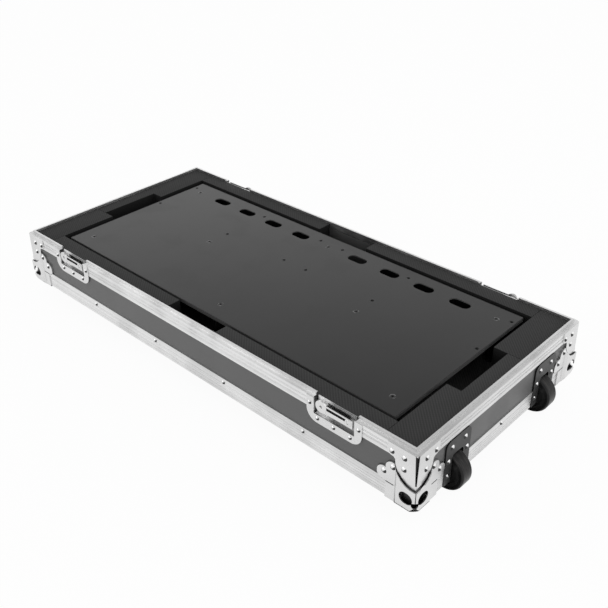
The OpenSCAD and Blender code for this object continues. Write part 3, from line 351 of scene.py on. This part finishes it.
def makeLaminate():
    material, tree, shader, place = newFinish("laminate")
    grain = useGroup(tree, fineGrain, Vector=place, Size=laminate["grain"])
    marks = useGroup(tree, handMarks, Vector=place)
    tone = times(tree, grain["Tone"], laminate["grainTone"])
    tone = plus(tree, tone, marks["Smudge"], laminate["smudgeTone"])
    face = blendColour(tree, tone, grey(laminate["colour"]), grey(laminate["pale"]))
    x, y, z = axesOf(tree, place)
    x, y = fromMiddle(tree, x), fromMiddle(tree, y)
    # painted shade: black behind the cap holes and brace slits, and a painted shadow line round the cap
    # lobes
    corner = times(tree, over(tree, x, laminate["cornerX"]), over(tree, y, laminate["cornerY"]))
    dark = times(tree, corner, under(tree, z, laminate["cornerZ"]))
    slit = times(tree, over(tree, x, laminate["slitX"]), over(tree, y, laminate["slitY"]))
    dark = calc(tree, "MAXIMUM", dark, slit)
    along = calc(tree, "MAXIMUM", calc(tree, "SUBTRACT", laminate["halfX"], x),
                 calc(tree, "SUBTRACT", laminate["halfY"], y))
    for reach, height in laminate["lobes"]:
        squares = [calc(tree, "POWER", calc(tree, "SUBTRACT", value, centre), 2.0)
                   for value, centre in ((along, reach), (z, height))]
        away = calc(tree, "SQRT", calc(tree, "ADD", *squares))
        dark = calc(tree, "MAXIMUM", dark, under(tree, away, laminate["shade"]))
    feed(tree, blendColour(tree, dark, face, grey(laminate["black"])), shader["Base Color"])
    rough = ramp(tree, marks["Smudge"], 0, 1, laminate["rough"], laminate["rough"] + laminate["smudged"])
    feed(tree, rough, shader["Roughness"])
    feed(tree, bump(tree, grain["Height"], laminate["bump"], laminate["deep"]), shader["Normal"])
    return material


# Closed-cell foam: its top is pressed with fine diamonds, from two sets of ribs that cross at
# right angles, one deeper than the other. Its sides are painted near black as painted shade
foam = {"colour": 0.029, "pale": 0.047, "side": 0.006, "top": (0.5, 0.9), "ribs": 0.0038,
        "links": 0.35, "ribRange": (-1.3, 1.3), "ribTone": 0.75, "grain": 1300.0, "grainTone": 0.15,
        "smudgeTone": 0.10, "rough": 0.9, "shine": 0.2, "share": 0.5, "bump": 0.4, "deep": 0.00025,
        "edge": 0.0009}


def makeFoam():
    material, tree, shader, place = newFinish("foam")
    x, y, z = axesOf(tree, place)
    turns = 2 * math.pi / (foam["ribs"] * math.sqrt(2))
    ribs, links = [calc(tree, "SINE", times(tree, calc(tree, operation, x, y), turns))
                   for operation in ("ADD", "SUBTRACT")]
    top = ramp(tree, facingOf(tree)[2], *foam["top"])
    pressed = times(tree, plus(tree, ribs, links, foam["links"]), top)
    grain = useGroup(tree, fineGrain, Vector=place, Size=foam["grain"])
    marks = useGroup(tree, handMarks, Vector=place)
    tone = ramp(tree, pressed, *foam["ribRange"], 0.0, foam["ribTone"])
    tone = plus(tree, tone, grain["Tone"], foam["grainTone"])
    tone = plus(tree, tone, marks["Smudge"], foam["smudgeTone"])
    upper = blendColour(tree, tone, grey(foam["colour"]), grey(foam["pale"]))
    # painted shade: surfaces that do not face up get the near-black side colour
    feed(tree, blendColour(tree, top, grey(foam["side"]), upper), shader["Base Color"])
    shader["Roughness"].default_value = foam["rough"]
    shader["Specular IOR Level"].default_value = foam["shine"]
    height = plus(tree, times(tree, pressed, foam["share"]), grain["Height"], foam["share"])
    feed(tree, bump(tree, height, foam["bump"], foam["deep"]), shader["Normal"])
    return material


# Satin powder coat of the board, with painted shade, a dark painted reflection, along its bend and painted
# light on its folded sides
boardCoat = {"colour": 0.006, "pale": 0.009, "side": 0.075, "wearAndShade": 0.004, "halfX": 0.3802,
             "halfY": 0.1615, "bend": 0.0011, "topFacing": (0.6, 0.9), "sideFacing": (0.2, 0.6),
             "grain": 1100.0, "shine": 0.42, "rough": 0.30, "smudged": 0.05, "bendShadeRough": 0.4,
             "bump": 0.25, "deep": 0.00008}


def makeBoardCoat():
    material, tree, shader, place = newFinish("boardCoat")
    grain = useGroup(tree, fineGrain, Vector=place, Size=boardCoat["grain"])
    marks = useGroup(tree, handMarks, Vector=place)
    coat = blendColour(tree, grain["Tone"], grey(boardCoat["colour"]), grey(boardCoat["pale"]))
    axes = axesOf(tree, place)
    facing = facingOf(tree)
    # painted shade along the bend, rougher there, and painted light on the folded sides
    past = [calc(tree, "SUBTRACT", fromMiddle(tree, axes[index]), boardCoat[half] - boardCoat["bend"])
            for index, half in ((0, "halfX"), (1, "halfY"))]
    bend = over(tree, calc(tree, "MAXIMUM", *past), 0)
    bend = times(tree, bend, ramp(tree, facing[2], *boardCoat["topFacing"]))
    side = blendColour(tree, ramp(tree, facing[2], *boardCoat["sideFacing"]),
                       grey(boardCoat["side"]), coat)
    feed(tree, blendColour(tree, bend, side, grey(boardCoat["wearAndShade"])), shader["Base Color"])
    shader["Specular IOR Level"].default_value = boardCoat["shine"]
    rough = ramp(tree, marks["Smudge"], 0, 1, boardCoat["rough"], boardCoat["rough"] + boardCoat["smudged"])
    feed(tree, plus(tree, rough, bend, boardCoat["bendShadeRough"]), shader["Roughness"])
    feed(tree, bump(tree, grain["Height"], boardCoat["bump"], boardCoat["deep"]), shader["Normal"])
    return material


# Black parts: painted steel, moulded nylon and rubber. The wheel plates' edges are painted darker as
# painted shade
blackParts = {"grainTone": 0.6, "smudgeTone": 0.4, "pale": 1.5, "edgeFacing": (0.5, 0.85),
              "shine": 0.25, "smudged": 0.1, "bump": 0.35}


def makeBlack(name, colour, rough, grainSize, deep, edge=None):
    material, tree, shader, place = newFinish(name)
    grain = useGroup(tree, fineGrain, Vector=place, Size=grainSize)
    marks = useGroup(tree, handMarks, Vector=place)
    tone = times(tree, grain["Tone"], blackParts["grainTone"])
    tone = plus(tree, tone, marks["Smudge"], blackParts["smudgeTone"])
    face = blendColour(tree, tone, grey(colour), grey(colour * blackParts["pale"]))
    # painted shade: faces that do not face out along x get the darker edge colour
    if edge is not None:
        outward = ramp(tree, facingOf(tree)[0], *blackParts["edgeFacing"])
        face = blendColour(tree, outward, grey(edge), face)
    feed(tree, face, shader["Base Color"])
    shader["Specular IOR Level"].default_value = blackParts["shine"]
    rough = ramp(tree, marks["Smudge"], 0, 1, rough, rough + blackParts["smudged"])
    feed(tree, rough, shader["Roughness"])
    feed(tree, bump(tree, grain["Height"], blackParts["bump"], deep), shader["Normal"])
    return material


# Tyre, with dust worn into the tread in streaks round the wheel
tyre = {"rubber": 0.006, "dust": (0.058, 0.054, 0.051, 1), "axleX": 0.4375, "axleZ": 0.0345,
        "tread": (0.0300, 0.0325), "around": 1.6, "wide": 420, "outwards": 60, "detail": 3,
        "detailRough": 0.6, "streaks": (0.47, 0.76), "grain": 900.0, "grainShare": (0.6, 1.0),
        "shine": 0.22, "rough": (0.30, 0.75), "bump": 0.3, "deep": 0.00015}


def makeTyre():
    material, tree, shader, place = newFinish("tyreRubber")
    x, y, z = axesOf(tree, stretched(tree, place, shift=(-tyre["axleX"], 0, -tyre["axleZ"])))
    radius = calc(tree, "SQRT", calc(tree, "ADD", times(tree, x, x), times(tree, z, z)))
    around = addNode(tree, "ShaderNodeCombineXYZ")
    feed(tree, times(tree, calc(tree, "ARCTAN2", z, x), tyre["around"]), around.inputs[0])
    feed(tree, times(tree, y, tyre["wide"]), around.inputs[1])
    feed(tree, times(tree, radius, tyre["outwards"]), around.inputs[2])
    streaks = noise(tree, around.outputs[0], 1, tyre["detail"], tyre["detailRough"])
    dust = times(tree, ramp(tree, radius, *tyre["tread"]), ramp(tree, streaks, *tyre["streaks"]))
    grain = useGroup(tree, fineGrain, Vector=place, Size=tyre["grain"])
    dust = times(tree, dust, ramp(tree, grain["Tone"], 0, 1, *tyre["grainShare"]))
    feed(tree, blendColour(tree, dust, grey(tyre["rubber"]), tyre["dust"]), shader["Base Color"])
    shader["Specular IOR Level"].default_value = tyre["shine"]
    feed(tree, ramp(tree, dust, 0, 1, *tyre["rough"]), shader["Roughness"])
    feed(tree, bump(tree, grain["Height"], tyre["bump"], tyre["deep"]), shader["Normal"])
    return material


# Board screws: black heads with the plating worn bright in parts of the rim. They stand in rows
screws = {"stepX": 0.1751, "stepY": 0.1295, "inner": (0.0034, 0.0038), "outer": (0.0049, 0.0053),
          "patch": 260, "wearAndShade": (0.48, 0.60), "black": 0.006, "bright": 0.20, "rough": (0.45, 0.3),
          "grain": 1500.0, "bump": 0.2, "deep": 0.00008}


def makeScrews():
    material, tree, shader, place = newFinish("boardScrews")
    axes = axesOf(tree, place)
    squares = []
    for index, step in ((0, screws["stepX"]), (1, screws["stepY"])):
        nearest = times(tree, calc(tree, "ROUND", calc(tree, "DIVIDE", axes[index], step)), step)
        offset = calc(tree, "SUBTRACT", axes[index], nearest)
        squares.append(times(tree, offset, offset))
    radius = calc(tree, "SQRT", calc(tree, "ADD", *squares))
    ring = times(tree, ramp(tree, radius, *screws["inner"]), ramp(tree, radius, *screws["outer"], 1, 0))
    wearAndShade = times(tree, ring, ramp(tree, noise(tree, place, screws["patch"]), *screws["wearAndShade"]))
    feed(tree, blendColour(tree, wearAndShade, grey(screws["black"]), grey(screws["bright"])), shader["Base Color"])
    feed(tree, wearAndShade, shader["Metallic"])
    feed(tree, ramp(tree, wearAndShade, 0, 1, *screws["rough"]), shader["Roughness"])
    grain = useGroup(tree, fineGrain, Vector=place, Size=screws["grain"])
    feed(tree, bump(tree, grain["Height"], screws["bump"], screws["deep"]), shader["Normal"])
    return material


finishes = {
    "extrusionLong": makeExtrusion("extrusionLong", axis=0),
    "extrusionShort": makeExtrusion("extrusionShort", axis=1),
    "plated": makePlated("platedSheet", rough=0.20, colour=0.72),
    "rivet": makeRivets(),
    "bright": makePlated("brightSteel", rough=0.24, colour=0.70),
    "laminate": makeLaminate(),
    "foam": makeFoam(),
    "boardCoat": makeBoardCoat(),
    "wheelPlate": makeBlack("wheelPlate", colour=0.024, rough=0.38, grainSize=900.0, deep=0.0001,
                            edge=0.002),
    "blackSteel": makeBlack("blackSteel", colour=0.014, rough=0.42, grainSize=900.0, deep=0.0001),
    "nylon": makeBlack("mouldedNylon", colour=0.008, rough=0.36, grainSize=700.0, deep=0.00008),
    # painted shade: a near-black finish for the keepers' block and bars
    "shadeBlack": makeBlack("paintedShadeBlack", colour=0.004, rough=0.6, grainSize=500.0, deep=0.0001),
    "dish": makeDish(),
    "rubber": makeBlack("blackRubber", colour=0.016, rough=0.62, grainSize=500.0, deep=0.0002),
    "tyre": makeTyre(),
    "screws": makeScrews(),
}
print("finishes made")


# The finish of each CAD node, by the end of its name; the first that fits is used
finishByEnding = (
    ("laminate", ("panel",)),
    ("extrusionLong", ("front_rim", "back_rim", "front_base_edge", "back_base_edge")),
    ("extrusionShort", ("rim", "base_edge")),
    ("dish", ("dish",)),
    ("plated", ("cap", "brace", "keeper")),
    ("rivet", ("rivets",)),
    ("bright", ("axle", "pins", "bail", "foot_screws")),
    ("wheelPlate", ("wheel_plate",)),
    ("blackSteel", ("housing", "handle_plate")),
    ("nylon", ("core", "board_posts")),
    ("tyre", ("tyre",)),
    ("foam", ("foam", "foam_floor")),
    ("boardCoat", ("board_plate",)),
    ("screws", ("board_screws",)),
    ("rubber", ("",)),
)


def finishOf(name):
    return next(finish for finish, endings in finishByEnding if name.endswith(endings))


for name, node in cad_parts.items():
    for slot in node.material_slots:
        slot.material = finishes[finishOf(name)]
print("nodes dressed")


# Modelling by operators: blocks and rounds are cut to shape, then all their edges are softened
softness = {"merge": 0.00001, "steps": 3, "smooth": 40}


def startPiece():
    if bpy.context.mode != "OBJECT":
        bpy.ops.object.mode_set(mode="OBJECT")
    bpy.ops.object.select_all(action="DESELECT")


def addBlock(name, low, high):
    startPiece()
    centre = [(a + b) / 2 for a, b in zip(low, high)]
    bpy.ops.mesh.primitive_cube_add(size=1, location=centre)
    piece = bpy.context.object
    piece.name = name
    piece.dimensions = [b - a for a, b in zip(low, high)]
    bpy.ops.object.transform_apply(location=True, rotation=True, scale=True)
    return piece


def cutAway(piece, cutter):
    modifier = piece.modifiers.new("cut", "BOOLEAN")
    modifier.operation = "DIFFERENCE"
    modifier.solver = "EXACT"
    modifier.object = cutter
    bpy.context.view_layer.objects.active = piece
    bpy.ops.object.modifier_apply(modifier="cut")
    bpy.data.objects.remove(cutter, do_unlink=True)


def softenEdges(piece, width):
    startPiece()
    piece.select_set(True)
    bpy.context.view_layer.objects.active = piece
    bpy.ops.object.mode_set(mode="EDIT")
    bpy.ops.mesh.select_all(action="SELECT")
    bpy.ops.mesh.remove_doubles(threshold=softness["merge"])
    bpy.ops.mesh.normals_make_consistent(inside=False)
    bpy.ops.mesh.bevel(offset=width, segments=softness["steps"], affect="EDGES")
    bpy.ops.object.mode_set(mode="OBJECT")
    bpy.ops.object.shade_smooth_by_angle(angle=math.radians(softness["smooth"]))


def setFinish(piece, finish):
    piece.data.materials.clear()
    piece.data.materials.append(finishes[finish])


def finishFoam(piece, node):
    softenEdges(piece, foam["edge"])
    setFinish(piece, "foam")
    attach(piece, "case")
    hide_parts(node)


# The nest's blocks: each end block has a finger notch at its middle, and the front and back
# strips leave one between them. The room for the wheel housings is cut out at the right
floorLow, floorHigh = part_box("foam_floor")
endLow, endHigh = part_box("right_foam")
stripLow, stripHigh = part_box("back_foam")
nest = {"low": endLow.z, "top": endHigh.z, "inX": endHigh.x, "inY": endHigh.y, "openX": endLow.x,
        "openY": stripLow.y, "notch": 0.059, "longNotch": 0.056, "notchDeep": 0.024,
        "cutPast": 0.01, "cutHigh": 0.2}
room = {"half": 0.0166, "top": 0.0726, "inner": 0.4009, "outer": 0.5, "middle": 0.113}


def cutHousings(piece):
    for side in (-1, 1):
        middle = side * room["middle"]
        low = (room["inner"], middle - room["half"], 0)
        high = (room["outer"], middle + room["half"], room["top"])
        cutAway(piece, addBlock("cutter", low, high))


def endBlock(name, side, node):
    x = sorted((side * nest["openX"], side * nest["inX"]))
    meet = side * nest["notch"]
    spans = {"long": sorted((-side * nest["inY"], meet)), "short": sorted((meet, side * nest["inY"]))}
    for length, y in spans.items():
        piece = addBlock(name + "_" + length, (x[0], y[0], nest["low"]), (x[1], y[1], nest["top"]))
        if length == "long":
            ends = sorted((side * (nest["openX"] - nest["cutPast"]),
                           side * (nest["openX"] + nest["notchDeep"])))
            gap = sorted((-meet, side * (nest["notch"] + nest["cutPast"])))
            cutAway(piece, addBlock("cutter", (ends[0], gap[0], 0), (ends[1], gap[1], nest["cutHigh"])))
        if side > 0:
            cutHousings(piece)
        finishFoam(piece, node)


def sideStrip(name, side, end, node):
    x = sorted((end * nest["longNotch"], end * nest["openX"]))
    y = sorted((side * nest["openY"], side * nest["inY"]))
    finishFoam(addBlock(name, (x[0], y[0], nest["low"]), (x[1], y[1], nest["top"])), node)


endBlock("foam_end_block_left", -1, "left_foam")
endBlock("foam_end_block_right", 1, "right_foam")
for side, wall in ((-1, "front"), (1, "back")):
    for end, hand in ((-1, "left"), (1, "right")):
        sideStrip("foam_strip_" + wall + "_" + hand, side, end, wall + "_foam")

# The sheet under the board
floorSheet = addBlock("foam_floor_sheet", floorLow, floorHigh)
cutHousings(floorSheet)
finishFoam(floorSheet, "foam_floor")
print("foam made")


# Latch keepers: a slotted strap with an ear and a curl, over a black block and black bars that are painted
# shade behind the slot and across the ribbed back. Places are measured from the latch's middle to its
# right, into the case, and up from the floor
keeper = {"middle": 0.311, "face": 0.2055, "soft": 0.0004, "sides": 32, "drill": (-0.01, 0.01),
          "strap": ((-0.0187, -0.0015, 0.1042), (0.0335, 0, 0.1175)),
          "slot": ((-0.0128, -0.01, 0.1105), (0.0225, 0.01, 0.1153)),
          "shadeBlock": ((-0.0150, 0.0004, 0.1092), (0.0245, 0.0030, 0.1166)),
          "ear": {"spot": (-0.0225, 0.1120), "radius": 0.0100, "hole": 0.0024, "deep": (-0.0019, 0.0004)},
          "curl": {"spot": (0.0262, 0.1120), "radius": 0.0056, "hole": 0.0034, "deep": (-0.0024, -0.0008)},
          "ribs": (0.1076, 0.1098, 0.1120, 0.1142, 0.1164), "shadeBarLow": (-0.0165, 0.0060),
          "shadeBarHigh": (0.0230, 0.0068), "shadeBarTall": 0.0009, "shadeBarSoft": 0.0002}


def latchPlace(side, face, point):
    x = side * keeper["middle"] - face * point[0]
    return (x, face * (keeper["face"] - point[1]), point[2])


def latchBlock(name, side, face, low, high):
    corners = [latchPlace(side, face, low), latchPlace(side, face, high)]
    return addBlock(name, [min(pair) for pair in zip(*corners)], [max(pair) for pair in zip(*corners)])


def latchRound(name, side, face, spot, radius, deep):
    ends = [latchPlace(side, face, (spot[0], depth, spot[1])) for depth in deep]
    middle = [(a + b) / 2 for a, b in zip(*ends)]
    startPiece()
    bpy.ops.mesh.primitive_cylinder_add(vertices=keeper["sides"], radius=radius,
                                        depth=abs(deep[1] - deep[0]), location=middle,
                                        rotation=(math.pi / 2, 0, 0))
    piece = bpy.context.object
    piece.name = name
    bpy.ops.object.transform_apply(location=True, rotation=True, scale=True)
    return piece


def finishKeeper(piece, width, finish, node):
    softenEdges(piece, width)
    setFinish(piece, finish)
    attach(piece, "case")
    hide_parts(node)


def makeKeeper(place, side, face):
    node = place + "_keeper"
    strap = latchBlock("keeper_strap_" + place, side, face, *keeper["strap"])
    cutAway(strap, latchBlock("cutter", side, face, *keeper["slot"]))
    finishKeeper(strap, keeper["soft"], "plated", node)
    for part in ("ear", "curl"):
        disc = keeper[part]
        name = "keeper_%s_%s" % (part, place)
        piece = latchRound(name, side, face, disc["spot"], disc["radius"], disc["deep"])
        cutAway(piece, latchRound("cutter", side, face, disc["spot"], disc["hole"], keeper["drill"]))
        finishKeeper(piece, keeper["soft"], "plated", node)
    # painted shade: a black block behind the slot, and black bars between the ribs of the back
    shadeBlock = latchBlock("keeper_shade_block_" + place, side, face, *keeper["shadeBlock"])
    finishKeeper(shadeBlock, keeper["soft"], "shadeBlack", node)
    for index, height in enumerate(keeper["ribs"]):
        name = "keeper_rib_%s_%d" % (place, index)
        shadeBar = latchBlock(name, side, face, (*keeper["shadeBarLow"], height),
                         (*keeper["shadeBarHigh"], height + keeper["shadeBarTall"]))
        finishKeeper(shadeBar, keeper["shadeBarSoft"], "shadeBlack", node)


for face, wall in ((-1, "front"), (1, "back")):
    for side, hand in ((-1, "left"), (1, "right")):
        makeKeeper(wall + "_" + hand, side, face)
print("keepers made")


# Floor, world and lamps. The floor looks white to the camera and in the metal, apart from a
# painted shade strip round the case's footprint seen in the metal, and keeps the object's shadow
studio = {"floorSize": 24, "floor": 0.86, "shaded": 0.02, "plain": 0.95, "halfX": 0.4546,
          "halfY": 0.2101, "shade": 0.010, "heights": (0.38, 0.66), "strengths": (1.28, 0.56)}
lamps = {"keyLamp": {"place": (1.9, 0.4, 2.4), "size": 2.2, "power": 14},
         "fillLamp": {"place": (-1.6, -2.0, 1.3), "size": 1.6, "power": 6}}


def mixShaders(tree, mask, first, second, target):
    mix = addNode(tree, "ShaderNodeMixShader")
    feed(tree, mask, mix.inputs[0])
    tree.links.new(first.outputs[0], mix.inputs[1])
    tree.links.new(second.outputs[0], mix.inputs[2])
    tree.links.new(mix.outputs[0], target.inputs[0])


def makeFloor():
    startPiece()
    bpy.ops.mesh.primitive_plane_add(size=studio["floorSize"])
    floor = bpy.context.object
    floor.name = "floor"
    material = bpy.data.materials.new("paleFloor")
    material.use_nodes = True
    tree = material.node_tree
    tree.nodes.clear()
    path = addNode(tree, "ShaderNodeLightPath").outputs
    seen = calc(tree, "ADD", path["Is Camera Ray"], path["Is Glossy Ray"])
    seen = calc(tree, "ADD", seen, path["Is Transmission Ray"], clamp=True)
    axes = axesOf(tree, addNode(tree, "ShaderNodeTexCoord").outputs["Object"])
    # painted shade: glossy rays see the floor dark in a strip round the case's footprint
    past = [calc(tree, "SUBTRACT", fromMiddle(tree, axes[index]), studio[half])
            for index, half in ((0, "halfX"), (1, "halfY"))]
    clear = ramp(tree, calc(tree, "MAXIMUM", *past), 0.0, studio["shade"])
    shade = times(tree, path["Is Glossy Ray"], without(tree, clear))
    seen = times(tree, times(tree, seen, without(tree, shade)), studio["plain"])
    matt = addNode(tree, "ShaderNodeBsdfDiffuse")
    colour = blendColour(tree, shade, grey(studio["floor"]), grey(studio["shaded"]))
    feed(tree, colour, matt.inputs["Color"])
    white = addNode(tree, "ShaderNodeEmission")
    mixShaders(tree, seen, matt, white, addNode(tree, "ShaderNodeOutputMaterial"))
    floor.data.materials.append(material)


def makeSky():
    world = bpy.data.worlds.new("studio")
    bpy.context.scene.world = world
    world.use_nodes = True
    tree = world.node_tree
    tree.nodes.clear()
    path = addNode(tree, "ShaderNodeLightPath").outputs
    soft = addNode(tree, "ShaderNodeBackground")
    white = addNode(tree, "ShaderNodeBackground")
    for background in (soft, white):
        background.inputs["Color"].default_value = grey(1)
    up = axesOf(tree, addNode(tree, "ShaderNodeTexCoord").outputs["Generated"])[2]
    feed(tree, ramp(tree, up, *studio["heights"], *studio["strengths"]), soft.inputs["Strength"])
    mixShaders(tree, path["Is Camera Ray"], soft, white, addNode(tree, "ShaderNodeOutputWorld"))


def addLamp(name, place, size, power):
    bpy.ops.object.light_add(type="AREA", location=place)
    lamp = bpy.context.object
    lamp.name = name
    lamp.data.shape = "DISK"
    lamp.data.size = size
    lamp.data.energy = power
    lamp.rotation_euler = (-Vector(place)).to_track_quat("-Z", "Y").to_euler()


makeFloor()
makeSky()
for name, lamp in lamps.items():
    addLamp(name, **lamp)
print("studio set")
